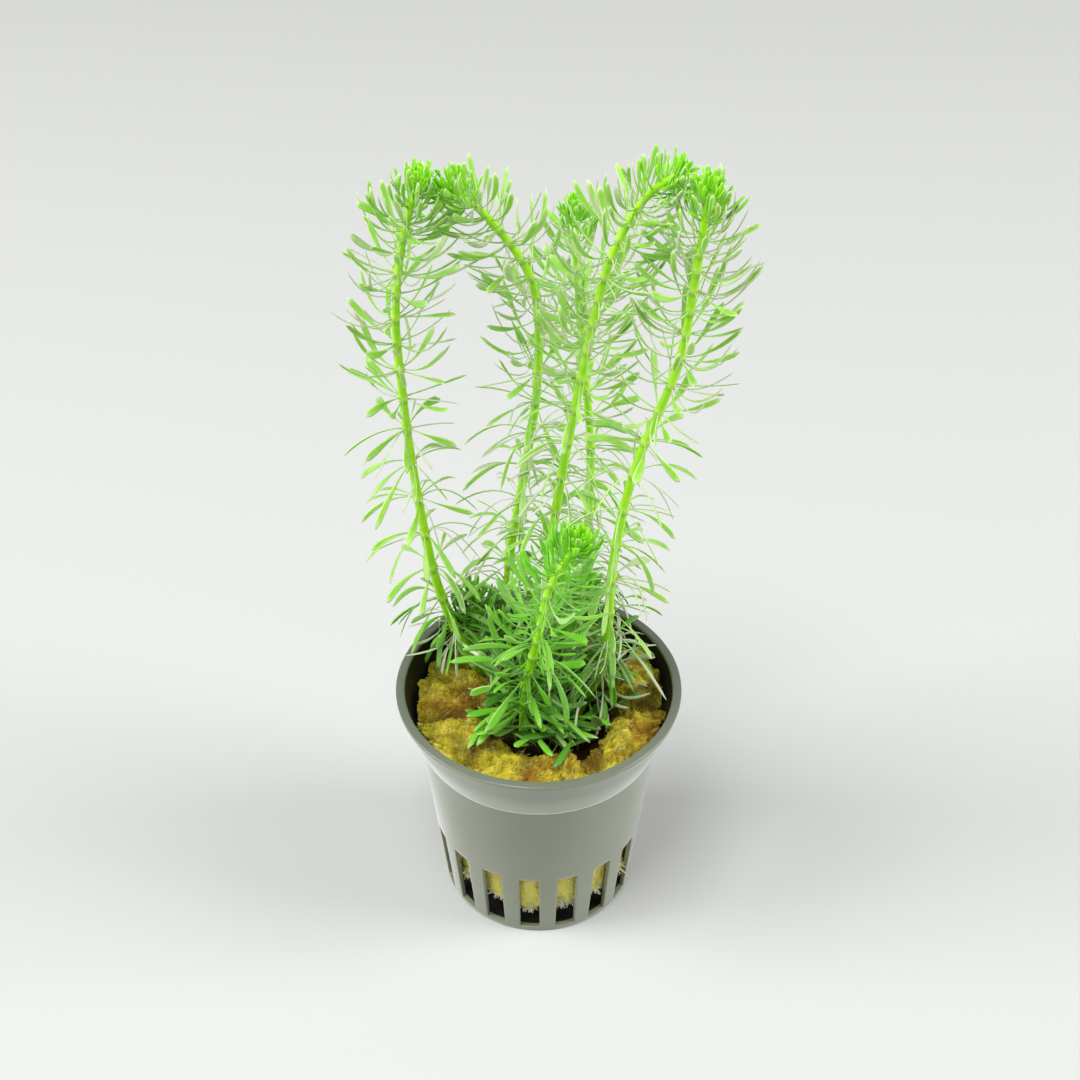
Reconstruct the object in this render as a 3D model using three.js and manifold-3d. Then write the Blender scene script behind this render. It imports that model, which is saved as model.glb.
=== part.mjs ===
// A potted aquarium stem plant: a slotted plastic net pot, a torn roll of rock wool inside it,
// and eight leafy stems that stand together in the middle of the wool.
// Millimetres, +Z up. The origin is the middle of the pot's underside, and -Y is the front.

import * as THREE from "three";
import { mergeVertices } from "three/addons/utils/BufferGeometryUtils.js";
import Module from "manifold-3d";

const wasm = await Module();
wasm.setup();

// Pot: one moulding, with a thin flat rim, a flared collar, a small stacking step and a ring of tall slots
const POT_HEIGHT = 50;
const RIM_RADIUS = 27.3;
const FOOT_RADIUS = 19;
// Outer radius and height at the foot, below the step, above it, in the collar and under the rim
const WALL_PROFILE = [[FOOT_RADIUS, 0], [23, 38.4], [23.4, 39], [25.2, 43.5], [26.6, 49.1]];
const WALL_THICKNESS = 1;
const FLOOR_THICKNESS = 1.3;
const POT_SIDES = 32;

// Slots: an even ring in the wall, and a smaller ring of drain slots in the floor
const WALL_SLOTS = 17;
const WALL_SLOT_WIDTH = 3.9;
const WALL_SLOT_TOP = 17;
const FLOOR_SLOTS = 6;
const FLOOR_SLOT_WIDTH = 3;
const FLOOR_SLOT_START = 6.5;
const FLOOR_SLOT_END = 14.5;

// Rock wool: a roll that nearly fills the pot, with a pit in the middle where the stems stand
const WOOL_BOTTOM = 6.5;
const WOOL_TOP = 46;
const WOOL_SIDES = 36;
const WOOL_WALL_GAP = 0.6;
const WOOL_LEFT_GAP = 0.5;
const PIT_CENTRE = new THREE.Vector2(2.5, -1.5);
const PIT_RADIUS = 12.5;
const PIT_FLOOR = 38;
// Each clump of the torn roll runs from one cleft to the next; angles in degrees from +X
const CLEFTS = [40, 100, 140, 190, 230, 300, 360];
const CLEFT_DEPTH = 2.4;
const CLUMP_RISE = [2, 0.9, 0.4, -0.6, 0.8, 0.2, 0.9];

// Stems: pentagonal in section, set a little way into the wool
const STEM_SIDES = 5;
const STEM_STEP = 9;
const HOLE_CLEARANCE = 0.35;
const LOWEST_WHORL = 44;

// Leaves: in whorls, close together at the tip and further apart lower down
const FIRST_WHORL = 1.2;
const FIRST_INTERNODE = 2;
const INTERNODE_GROWTH = 1.11;
const LEAVES_PER_WHORL = 5;
const LEAF_WIDEST = 0.64;
const LEAF_THICKNESS = 0.45;
const LEAF_TRIM = [1, 0.75, 0.5];
// A leaf's foot lies inside the stem, this far from its centre line
const FOOT_DEPTH = 0.3;

const POT_GREY = 0x8f968c;
const WOOL_YELLOW = 0xb79a3c;
const LEAF_GREEN = 0x5fae35;

// Centre lines from the foot in the wool to the growing tip. Two pairs of stems lean together
// into arches; the last three are short shoots at the foot of the plant.
const TALL = { radius: 1.0, tipRadius: 0.6, leafLength: 10.5, leafWidth: 1.9, longestInternode: 8.8 };
const SHORT = { radius: 0.95, tipRadius: 0.6, leafLength: 11, leafWidth: 2.3, longestInternode: 4.8 };
const STEMS = [
  {
    name: "stem_left", seed: 1, ...TALL,
    line: [[-9, 6, 35], [-11.5, 9, 44], [-17, 11, 57], [-20, 9, 72], [-22.5, 7, 97], [-23.5, 5, 118],
      [-23.5, 4, 131], [-21.5, 3, 145], [-18.3, 1, 156]],
  },
  {
    name: "stem_left_arch", seed: 2, ...TALL,
    line: [[-5, 11, 35], [-6.5, 15, 48], [-5.5, 17, 68], [-3.5, 15, 83], [-0.5, 11, 108], [0, 8.5, 124],
      [-1.5, 6, 136], [-7.5, 4, 147], [-14, 2, 154.5]],
  },
  {
    name: "stem_back", seed: 3, ...TALL,
    line: [[4, 13, 35], [8, 17, 52], [9.5, 19, 75], [9.5, 18, 94], [8, 17, 112], [6.5, 15, 132], [6, 14, 144]],
  },
  {
    name: "stem_right_arch", seed: 4, ...TALL,
    line: [[-1, 7, 35], [0.5, 9.5, 52], [2, 7, 75], [4, 4, 96], [7.5, 0, 122], [11, -3, 143], [16, -5, 155.5],
      [21, -6, 160.5]],
  },
  {
    name: "stem_right", seed: 5, ...TALL,
    line: [[6, 2.5, 35], [9.5, 3.5, 44], [12.5, 1, 56], [13.5, -1.5, 82], [16.5, -4, 104], [22.5, -7, 127],
      [24.3, -9.3, 145], [25.3, -11.3, 161]],
  },
  {
    name: "shoot_front", seed: 6, ...SHORT,
    line: [[-3, -1, 35], [-2.5, -4, 53], [0, -6.5, 68], [2, -8.5, 81], [7, -10, 93]],
  },
  {
    name: "shoot_back_left", seed: 7, ...SHORT,
    line: [[-8, 12, 35], [-10, 13.5, 48], [-12.5, 12, 62]],
  },
  {
    name: "shoot_right", seed: 8, ...SHORT,
    line: [[3.5, 4, 35], [5.5, 6, 50], [8.5, 5.5, 70]],
  },
];

const lerp = (from, to, share) => from + (to - from) * share;
const radians = THREE.MathUtils.degToRad;

// 0 below from, 1 above to, and a smooth rise between them
function ease(from, to, value) {
  const share = THREE.MathUtils.clamp((value - from) / (to - from), 0, 1);
  return share * share * (3 - 2 * share);
}

// A repeatable number from 0 to 1 for each seed
function chance(seed) {
  const wave = Math.sin(seed * 12.9898) * 43758.5453;
  return wave - Math.floor(wave);
}

function toSolid(geometry) {
  const bare = geometry.clone();
  bare.deleteAttribute("normal");
  bare.deleteAttribute("uv");
  const merged = mergeVertices(bare, 1e-4);
  const mesh = new wasm.Mesh({
    numProp: 3,
    vertProperties: merged.attributes.position.array,
    triVerts: new Uint32Array(merged.index.array),
  });
  return new wasm.Manifold(mesh);
}

function toMesh(solid, name, material) {
  const { vertProperties, triVerts } = solid.getMesh();
  const geometry = new THREE.BufferGeometry();
  geometry.setAttribute("position", new THREE.BufferAttribute(vertProperties, 3));
  geometry.setIndex(new THREE.BufferAttribute(triVerts, 1));
  geometry.computeVertexNormals();
  const mesh = new THREE.Mesh(geometry, material);
  mesh.name = name;
  return mesh;
}

// A closed skin over rings of points that run anticlockwise seen from the last ring
function loft(rings, startCentre, endCentre) {
  const count = rings[0].length;
  const points = [...rings.flat(), startCentre, endCentre];
  const start = points.length - 2;
  const end = points.length - 1;
  const top = (rings.length - 1) * count;
  const faces = [];
  for (let i = 0; i < count; i++) {
    const next = (i + 1) % count;
    for (let k = 0; k < top; k += count) {
      faces.push(k + i, k + next, k + count + next, k + i, k + count + next, k + count + i);
    }
    faces.push(start, next, i, end, top + i, top + next);
  }
  const geometry = new THREE.BufferGeometry().setFromPoints(points);
  geometry.setIndex(faces);
  return geometry;
}

// Inner radius of the pot's wall at a height
function innerRadius(z) {
  const above = Math.max(1, WALL_PROFILE.findIndex(([, height]) => z <= height));
  const [[lowRadius, low], [highRadius, high]] = [WALL_PROFILE[above - 1], WALL_PROFILE[above]];
  return lerp(lowRadius, highRadius, (z - low) / (high - low)) - WALL_THICKNESS;
}

function buildPot() {
  const [collarRadius, rimUnderside] = WALL_PROFILE.at(-1);
  const inside = WALL_PROFILE.slice(1).map(([radius, height]) => [radius - WALL_THICKNESS, height]);
  const profile = [
    [0, 0],
    ...WALL_PROFILE,
    [RIM_RADIUS, rimUnderside],
    [RIM_RADIUS, POT_HEIGHT],
    [collarRadius - WALL_THICKNESS, POT_HEIGHT],
    ...inside.reverse(),
    [innerRadius(FLOOR_THICKNESS), FLOOR_THICKNESS],
    [0, FLOOR_THICKNESS],
  ].map(([radius, height]) => new THREE.Vector2(radius, height));
  let pot = toSolid(new THREE.LatheGeometry(profile, POT_SIDES).rotateX(Math.PI / 2));

  const slotHeight = WALL_SLOT_TOP - FLOOR_THICKNESS;
  for (let i = 0; i < WALL_SLOTS; i++) {
    const slot = new THREE.BoxGeometry(FOOT_RADIUS, WALL_SLOT_WIDTH, slotHeight)
      .translate(FOOT_RADIUS, 0, FLOOR_THICKNESS + slotHeight / 2)
      .rotateZ(((i + 0.5) / WALL_SLOTS) * 2 * Math.PI);
    pot = pot.subtract(toSolid(slot));
  }

  const floorSlotLength = FLOOR_SLOT_END - FLOOR_SLOT_START;
  for (let i = 0; i < FLOOR_SLOTS; i++) {
    const slot = new THREE.BoxGeometry(floorSlotLength, FLOOR_SLOT_WIDTH, 4 * FLOOR_THICKNESS)
      .translate(FLOOR_SLOT_START + floorSlotLength / 2, 0, 0)
      .rotateZ((i / FLOOR_SLOTS) * 2 * Math.PI);
    pot = pot.subtract(toSolid(slot));
  }
  return pot;
}

// How far the wool stands off the pot's wall: it has shrunk away at the left
function wallGap(angle) {
  const left = Math.max(0, Math.cos(angle - radians(195))) ** 2;
  return WOOL_WALL_GAP + WOOL_LEFT_GAP * left;
}

// Height of the wool's clumps above or below its mean top: each has its own rise, and a cleft at its ends
function clumpHeight(angle) {
  const degrees = THREE.MathUtils.radToDeg(angle);
  const clump = CLEFTS.findIndex((cleft) => degrees < cleft);
  const start = clump === 0 ? 0 : CLEFTS[clump - 1];
  const along = (degrees - start) / (CLEFTS[clump] - start);
  const shoulder = ease(0, 0.25, along) * ease(0, 0.25, 1 - along);
  return lerp(-CLEFT_DEPTH, CLUMP_RISE[clump], shoulder);
}

function buildWool() {
  // Rings from the ragged underside, up the wall, over the crown and down into the pit
  const outerRing = (z, inset) => (angle) => {
    const radius = innerRadius(z) - wallGap(angle) - inset;
    return [radius * Math.cos(angle), radius * Math.sin(angle), z];
  };
  const underside = (angle) => {
    const [x, y] = outerRing(WOOL_BOTTOM, 0.8)(angle);
    return [x, y, WOOL_BOTTOM + 0.9 * Math.sin(5 * angle)];
  };
  const shoulder = (angle) => {
    const [x, y] = outerRing(WOOL_TOP, 0.5)(angle);
    return [x, y, WOOL_TOP - 1 + clumpHeight(angle)];
  };
  const pitRing = (radius, z, clumpShare) => (angle) => [
    PIT_CENTRE.x + radius * Math.cos(angle),
    PIT_CENTRE.y + radius * Math.sin(angle),
    z + clumpShare * clumpHeight(angle),
  ];
  const rows = [
    underside,
    outerRing(WOOL_BOTTOM + 2, 0),
    outerRing(24, 0),
    outerRing(38, 0),
    outerRing(WOOL_TOP - 4.5, 0),
    shoulder,
    pitRing(PIT_RADIUS + 3.5, WOOL_TOP + 0.3, 1),
    pitRing(PIT_RADIUS, WOOL_TOP - 1.5, 0.8),
    pitRing(PIT_RADIUS - 1.5, PIT_FLOOR + 1.5, 0),
  ];
  const rings = rows.map((row) =>
    Array.from({ length: WOOL_SIDES }, (_, i) => new THREE.Vector3(...row((i / WOOL_SIDES) * 2 * Math.PI))),
  );
  const underMiddle = new THREE.Vector3(0, 0, WOOL_BOTTOM + 1);
  const pitMiddle = new THREE.Vector3(PIT_CENTRE.x, PIT_CENTRE.y, PIT_FLOOR);
  return toSolid(loft(rings, underMiddle, pitMiddle));
}

function stemCurve(stem) {
  const points = stem.line.map((point) => new THREE.Vector3(...point));
  return new THREE.CatmullRomCurve3(points, false, "catmullrom", 0.5);
}

// The stem's direction at a distance along it, and two directions square to it
function stemFrame(curve, share) {
  const centre = curve.getPointAt(share);
  const along = curve.getTangentAt(share);
  const across = new THREE.Vector3().crossVectors(along, new THREE.Vector3(0, 1, 0)).normalize();
  const depth = new THREE.Vector3().crossVectors(along, across);
  return { centre, along, across, depth };
}

// Direction square to the stem at an angle around it
function outward(frame, angle) {
  return frame.across.clone().multiplyScalar(Math.cos(angle)).addScaledVector(frame.depth, Math.sin(angle));
}

function bareStem(stem, extraRadius = 0) {
  const curve = stemCurve(stem);
  const steps = Math.ceil(curve.getLength() / STEM_STEP);
  const rings = [];
  for (let k = 0; k <= steps; k++) {
    const frame = stemFrame(curve, k / steps);
    const radius = lerp(stem.radius, stem.tipRadius, k / steps) + extraRadius;
    rings.push(Array.from({ length: STEM_SIDES }, (_, i) =>
      outward(frame, (i / STEM_SIDES) * 2 * Math.PI).multiplyScalar(radius).add(frame.centre)));
  }
  return toSolid(loft(rings, curve.getPointAt(0), curve.getPointAt(1)));
}

// Distances back from the tip at which a stem carries a whorl of leaves
function whorlDistances(stem, curve) {
  const length = curve.getLength();
  const distances = [];
  let internode = FIRST_INTERNODE;
  for (let back = FIRST_WHORL; back < length; back += internode) {
    if (curve.getPointAt(1 - back / length).z < LOWEST_WHORL) break;
    distances.push(back);
    internode = Math.min(internode * INTERNODE_GROWTH, stem.longestInternode);
  }
  return distances;
}

// One leaf's size and pose: near the tip it is short and folded up along the stem. Further down it
// grows and opens, at first with its end curving up, and lower still with its end hanging down.
function leafPose(stem, back, whorl, leaf) {
  const seed = stem.seed * 1000 + whorl * 10 + leaf;
  const spread = (channel) => chance(seed + channel * 0.1) * 2 - 1;
  const grown = ease(-6, 18, back);
  const hanging = ease(36, 62, back);
  return {
    angle: ((leaf + 0.25 + (whorl % 2) / 2) / LEAVES_PER_WHORL) * 2 * Math.PI + spread(1) * 0.2,
    length: lerp(2, stem.leafLength, grown) * (1 + 0.14 * spread(2)),
    width: lerp(0.9, stem.leafWidth, grown) * (1 + 0.12 * spread(3)),
    opening: radians(lerp(10, 80, ease(-4, 20, back)) + 10 * hanging + 9 * spread(4)),
    rise: lerp(0.38, -0.42, hanging) + 0.2 * spread(5),
    twist: 0.6 * spread(6),
  };
}

// A leaf as a thin four-faced blade: the line from foot to tip crosses the line between its edges
function leafBlade(frame, pose, trim) {
  const away = outward(frame, pose.angle);
  const direction = frame.along.clone().multiplyScalar(Math.cos(pose.opening))
    .addScaledVector(away, Math.sin(pose.opening));
  const side = new THREE.Vector3().crossVectors(frame.along, away)
    .applyAxisAngle(direction, pose.twist);
  const face = new THREE.Vector3().crossVectors(direction, side);
  const bend = new THREE.Vector3(0, 0, 1).addScaledVector(direction, -direction.z);
  const reach = pose.length * trim;
  const foot = frame.centre.clone().addScaledVector(away, FOOT_DEPTH);
  const at = (share) => foot.clone().addScaledVector(direction, reach * share)
    .addScaledVector(bend, reach * pose.rise * share * share);
  const tip = at(1);
  const chord = foot.clone().lerp(tip, LEAF_WIDEST);
  const bow = at(LEAF_WIDEST).sub(chord).dot(face);
  const lift = bow < 0 ? Math.min(bow, -LEAF_THICKNESS) : Math.max(bow, LEAF_THICKNESS);
  const middle = chord.addScaledVector(face, lift);
  const left = middle.clone().addScaledVector(side, pose.width / 2);
  const right = middle.clone().addScaledVector(side, -pose.width / 2);
  const geometry = new THREE.BufferGeometry().setFromPoints([foot, left, right, tip]);
  geometry.setIndex(lift > 0 ? [0, 2, 1, 3, 1, 2, 0, 1, 3, 0, 3, 2] : [0, 1, 2, 3, 2, 1, 0, 3, 1, 0, 2, 3]);
  return toSolid(geometry);
}

// A stem with its leaves. A leaf that would run into a neighbour is cut back, or left out.
function leafyStem(stem, neighbours) {
  const curve = stemCurve(stem);
  const length = curve.getLength();
  const blades = [];
  whorlDistances(stem, curve).forEach((back, whorl) => {
    const frame = stemFrame(curve, 1 - back / length);
    for (let leaf = 0; leaf < LEAVES_PER_WHORL; leaf++) {
      const pose = leafPose(stem, back, whorl, leaf);
      const blade = LEAF_TRIM.map((trim) => leafBlade(frame, pose, trim))
        .find((candidate) => candidate.intersect(neighbours).isEmpty());
      if (blade) blades.push(blade);
    }
  });
  // Pockets closed in between crossing leaves are filled, by keeping only the outer skin
  const skins = blades.reduce((joined, blade) => joined.add(blade), bareStem(stem)).decompose();
  return skins.reduce((largest, skin) => (skin.volume() > largest.volume() ? skin : largest));
}

const plastic = new THREE.MeshStandardMaterial({ color: POT_GREY, roughness: 0.35, metalness: 0 });
const wool = new THREE.MeshStandardMaterial({ color: WOOL_YELLOW, roughness: 1, metalness: 0 });
const foliage = new THREE.MeshStandardMaterial({ color: LEAF_GREEN, roughness: 0.55, metalness: 0 });

const pot = buildPot();
const cores = STEMS.map((stem) => bareStem(stem, HOLE_CLEARANCE));
const roll = cores.reduce((solid, core) => solid.subtract(core), buildWool());

const plant = new THREE.Group();
plant.add(toMesh(pot, "net_pot", plastic));
plant.add(toMesh(roll, "rock_wool", wool));

const finished = [pot, roll];
STEMS.forEach((stem, index) => {
  const others = cores.filter((_, other) => other !== index);
  const neighbours = [...finished, ...others].reduce((joined, solid) => joined.add(solid));
  const leafy = leafyStem(stem, neighbours);
  finished.push(leafy);
  plant.add(toMesh(leafy, stem.name, foliage));
});

export default plant;
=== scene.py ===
import math

import bmesh
import bpy
import numpy as np
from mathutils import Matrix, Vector, kdtree, noise


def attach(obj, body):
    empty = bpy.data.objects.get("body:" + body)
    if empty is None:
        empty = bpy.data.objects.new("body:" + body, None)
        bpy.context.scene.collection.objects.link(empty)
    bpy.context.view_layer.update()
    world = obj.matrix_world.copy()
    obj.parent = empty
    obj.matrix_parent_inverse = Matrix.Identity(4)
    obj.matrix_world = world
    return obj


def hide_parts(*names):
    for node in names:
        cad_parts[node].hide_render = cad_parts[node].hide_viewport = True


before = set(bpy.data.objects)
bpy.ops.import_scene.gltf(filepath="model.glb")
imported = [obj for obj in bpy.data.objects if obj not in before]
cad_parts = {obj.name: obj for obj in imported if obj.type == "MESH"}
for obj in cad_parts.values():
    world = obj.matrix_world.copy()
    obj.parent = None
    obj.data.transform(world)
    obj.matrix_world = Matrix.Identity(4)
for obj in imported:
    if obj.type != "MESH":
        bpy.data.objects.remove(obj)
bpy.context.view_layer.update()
scene = bpy.context.scene

# Studio: a wide pale table top under a soft pale surround, a large softbox above the front, and a
# tall softbox at each side that gives the glossy pot its bright edges. The camera looks down on
# the plant from the front. None of this is part of the object.
CAMERA_PLACE = (0.00025, -0.251, 0.287)
CAMERA_PITCH = 38.8
CAMERA_LENS = 60
CAMERA_NEAREST = 0.01
TABLE_HALF = 3.0
TABLE_WHITE = (0.58, 0.59, 0.58, 1)
SURROUND_WHITE = (0.95, 0.95, 0.93, 1)
SURROUND_STRENGTH = 0.32
# Each softbox: name, place, width, height, power in watts, all aimed at the middle of the plant
SOFTBOXES = [
    ("key_softbox", (-0.2, -0.3, 1.05), 0.4, 0.4, 6.0),
    ("left_softbox", (-1.1, -0.1, 0.85), 0.6, 1.0, 13.0),
    ("right_softbox", (1.1, -0.1, 0.85), 0.6, 1.0, 13.5),
]
AIM = Vector((0, 0, 0.08))


def new_material(name, sockets):
    """A material with one Principled shader whose plain values are set on its own sockets."""
    material = bpy.data.materials.new(name)
    material.use_nodes = True
    shader = material.node_tree.nodes["Principled BSDF"]
    for socket, value in sockets.items():
        shader.inputs[socket].default_value = value
    return material, material.node_tree, shader


def new_piece(name, mesh):
    piece = bpy.data.objects.new(name, mesh)
    scene.collection.objects.link(piece)
    return piece


camera = new_piece("camera", bpy.data.cameras.new("camera"))
camera.data.lens = CAMERA_LENS
camera.data.clip_start = CAMERA_NEAREST
camera.location = CAMERA_PLACE
camera.rotation_euler = (math.radians(90 - CAMERA_PITCH), 0, 0)
scene.camera = camera
scene.view_settings.view_transform = "Standard"

for name, place, width, height, power in SOFTBOXES:
    light = bpy.data.lights.new(name, "AREA")
    light.shape = "RECTANGLE"
    light.size = width
    light.size_y = height
    light.energy = power
    softbox = new_piece(name, light)
    softbox.location = place
    softbox.rotation_euler = (AIM - Vector(place)).to_track_quat("-Z", "Y").to_euler()

surround = bpy.data.worlds.new("surround")
surround.use_nodes = True
glow = surround.node_tree.nodes["Background"].inputs
glow["Color"].default_value = SURROUND_WHITE
glow["Strength"].default_value = SURROUND_STRENGTH
scene.world = surround

table_mesh = bpy.data.meshes.new("table_top")
table_mesh.from_pydata(
    [(x * TABLE_HALF, y * TABLE_HALF, 0) for x, y in ((-1, -1), (1, -1), (1, 1), (-1, 1))],
    [], [(0, 1, 2, 3)],
)
table_paint, _, _ = new_material("table_paint", {
    "Base Color": TABLE_WHITE, "Roughness": 0.9, "Specular IOR Level": 0.05})
table_mesh.materials.append(table_paint)
table = new_piece("table_top", table_mesh)

# Net pot: one moulding of grey satin plastic, with a thin flat rim, a flared collar and a small
# stacking step, seventeen tall slots round its foot and six drain slots in its floor.
MM = 0.001
POT_HEIGHT = 50
RIM_RADIUS = 27.3
FOOT_RADIUS = 19
# Outer radius and height at the foot, below the step, above it, in the collar and under the rim
WALL_PROFILE = [(FOOT_RADIUS, 0), (23, 38.4), (23.4, 39), (25.2, 43.5), (26.6, 49.1)]
WALL_THICKNESS = 1
FLOOR_THICKNESS = 1.3
WALL_SLOTS = 17
WALL_SLOT_WIDTH = 3.9
WALL_SLOT_TOP = 17
FLOOR_SLOTS = 6
FLOOR_SLOT_WIDTH = 3
FLOOR_SLOT_START = 6.5
FLOOR_SLOT_END = 14.5
# Lines of the mesh in each slot's pitch. A wall slot lies between the two numbered here, and a floor
# slot reaches this many lines to each side of its middle.
WALL_LINES = 12
WALL_SLOT_LINES = (3, 9)
FLOOR_LINES = 34
FLOOR_SLOT_LINES = 4
EDGE_ROUND = 0.14
SHARP_ANGLE = 38
FOOT_ROUND = 0.6
# The wall's inner skin gets painted shade between these heights, and the rim a darker painted shade
# over a last narrow band, up to a hair inside its outer edge
SHADED_FROM = 0.6
SHADED_TO = 49.6
RIM_DARK_FROM = 49.5
RIM_DARK_BAND = 0.4
RIM_DARK_INSET = 0.1
POT_GREY = (0.195, 0.221, 0.152, 1)
POT_GREY_PALE = (0.235, 0.264, 0.183, 1)
# The rim's darker grey is painted shade
POT_RIM_PAINTED_SHADE = (0.15, 0.166, 0.128, 1)
# The inside's near black is painted shade
POT_INSIDE_PAINTED_SHADE = (0.007, 0.008, 0.007, 1)
POT_INSIDE_PAINTED_SHADE_PALE = (0.02, 0.021, 0.018, 1)
# The part of a noise's range over which a mottled surface turns from one colour to the other
PATCH_EDGE = (0.32, 0.68)


def wall_radius(z):
    """Outer radius of the pot's wall at a height, or at each of many heights."""
    radii, heights = zip(*WALL_PROFILE)
    return np.interp(z, heights, radii)


def inner_radius(z):
    return wall_radius(z) - WALL_THICKNESS


def mix(low, high, share):
    return low + (high - low) * share


def rounded(before, corner, after, size, steps=3):
    """Points of a small round that takes the place of a corner of the pot's section."""
    before, corner, after = Vector(before), Vector(corner), Vector(after)
    start = corner + (before - corner).normalized() * size
    end = corner + (after - corner).normalized() * size
    shares = [k / steps for k in range(steps + 1)]
    return [tuple(start.lerp(corner, t).lerp(corner.lerp(end, t), t)) for t in shares]


def half_slot_angle(width, radius):
    """Half the width of a slot, in degrees."""
    return math.degrees(math.asin(width / 2 / radius))


def spaced_angle(line, count, slots, edge, edge_angle):
    """Where a mesh line stands, in degrees: evenly spread on each side of a slot's edge."""
    pitch = 360 / slots
    near = (line + count // 2) % count - count // 2
    if abs(near) <= edge:
        offset = edge_angle * abs(near) / edge
    else:
        offset = edge_angle + (pitch / 2 - edge_angle) * (abs(near) - edge) / (count / 2 - edge)
    return (line - near) / count * pitch + math.copysign(offset, near)


def wall_line_angle(line, radius):
    """The wall's slots have one width at every height."""
    rib = 180 / WALL_SLOTS - half_slot_angle(WALL_SLOT_WIDTH, max(radius, FLOOR_SLOT_END))
    return spaced_angle(line, WALL_LINES, WALL_SLOTS, WALL_SLOT_LINES[0], rib)


def floor_line_angle(line, radius):
    half_slot = half_slot_angle(FLOOR_SLOT_WIDTH, max(radius, FLOOR_SLOT_START))
    return spaced_angle(line, FLOOR_LINES, FLOOR_SLOTS, FLOOR_SLOT_LINES, half_slot)


def line_angle(line, radius):
    """The floor's lines turn gradually into the wall's lines outside the drain slots."""
    share = min(max((radius - FLOOR_SLOT_END) / (FOOT_RADIUS - 1 - FLOOR_SLOT_END), 0), 1)
    degrees = mix(floor_line_angle(line, radius), wall_line_angle(line, radius), share)
    return math.radians(degrees)


_, shelf, step, flare, rim_foot = WALL_PROFILE
mouth_foot, inner_flare, inner_step, inner_shelf = (
    (radius - WALL_THICKNESS, height) for radius, height in WALL_PROFILE[:0:-1])
rim_under, rim_top = (RIM_RADIUS, rim_foot[1]), (RIM_RADIUS, POT_HEIGHT)
mouth = (mouth_foot[0], POT_HEIGHT)
floor_radii = [3.5, FLOOR_SLOT_START, 8.5, 10.5, 12.5, FLOOR_SLOT_END, 16.5]
slot_heights = [mix(FLOOR_THICKNESS, WALL_SLOT_TOP, k / 4) for k in range(5)]
plain_heights = [18, 22, 28, 34]
pot_rows = [(radius, 0) for radius in floor_radii]
pot_rows += rounded((floor_radii[-1], 0), (FOOT_RADIUS, 0), (wall_radius(5), 5), FOOT_ROUND)
outer_slot_row = len(pot_rows)
pot_rows += [(wall_radius(z), z) for z in slot_heights + plain_heights]
# Corners of the wall's section, up the outside, over the rim and down the inside: place, round, steps
corners = [(shelf, 0.3, 3), (step, 0.35, 3), (flare, 2.2, 5), (rim_foot, 0.3, 3), (rim_under, 0.2, 3),
           (rim_top, 0.3, 3), (mouth, 0.3, 3), (mouth_foot, 0.4, 3), (inner_flare, 1.5, 3),
           (inner_step, 0.3, 3), (inner_shelf, 0.3, 3)]
below = plain_heights[-1]
section = [(wall_radius(below), below)] + [corner for corner, _, _ in corners]
section.append((inner_radius(below), below))
for (corner, size, steps), before, after in zip(corners, section, section[2:]):
    pot_rows += rounded(before, corner, after, size, steps)
pot_rows += [(inner_radius(z), z) for z in plain_heights[::-1]]
inner_slot_row = len(pot_rows)
pot_rows += [(inner_radius(z), z) for z in slot_heights[::-1]]
pot_rows += [(radius, FLOOR_THICKNESS) for radius in floor_radii[::-1]]

pot_lines = WALL_SLOTS * WALL_LINES
form = bmesh.new()
grid = []
for radius, z in pot_rows:
    angles = [line_angle(line, radius) for line in range(pot_lines)]
    grid.append([form.verts.new((radius * math.cos(angle) * MM, radius * math.sin(angle) * MM, z * MM))
                 for angle in angles])


def in_wall_slot(line):
    return WALL_SLOT_LINES[0] <= line % WALL_LINES < WALL_SLOT_LINES[1]


def in_floor_slot(line):
    return (line + FLOOR_SLOT_LINES) % FLOOR_LINES < 2 * FLOOR_SLOT_LINES


# The floor's rows that the drain slots' ends lie on
first_drain, last_drain = floor_radii.index(FLOOR_SLOT_START), floor_radii.index(FLOOR_SLOT_END)
slot_steps = len(slot_heights) - 1
drain_rows = set(range(first_drain, last_drain))
drain_rows |= {len(pot_rows) - 2 - row for row in drain_rows}
slot_rows = set(range(outer_slot_row, outer_slot_row + slot_steps))
slot_rows |= set(range(inner_slot_row, inner_slot_row + slot_steps))
for row in range(len(pot_rows) - 1):
    for line in range(pot_lines):
        if row in slot_rows and in_wall_slot(line) or row in drain_rows and in_floor_slot(line):
            continue
        after = (line + 1) % pot_lines
        form.faces.new((grid[row][line], grid[row][after], grid[row + 1][after], grid[row + 1][line]))


def line_slot(outer, inner, is_slot):
    """Lines the sides and ends of each slot, between its rows on one skin and on the other."""
    for line in range(pot_lines):
        if is_slot(line) != is_slot(line - 1):
            for k in range(len(outer) - 1):
                form.faces.new((grid[outer[k]][line], grid[outer[k + 1]][line],
                                grid[inner[k + 1]][line], grid[inner[k]][line]))
        if is_slot(line):
            after = (line + 1) % pot_lines
            for k in (0, -1):
                form.faces.new((grid[outer[k]][line], grid[outer[k]][after],
                                grid[inner[k]][after], grid[inner[k]][line]))


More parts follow.
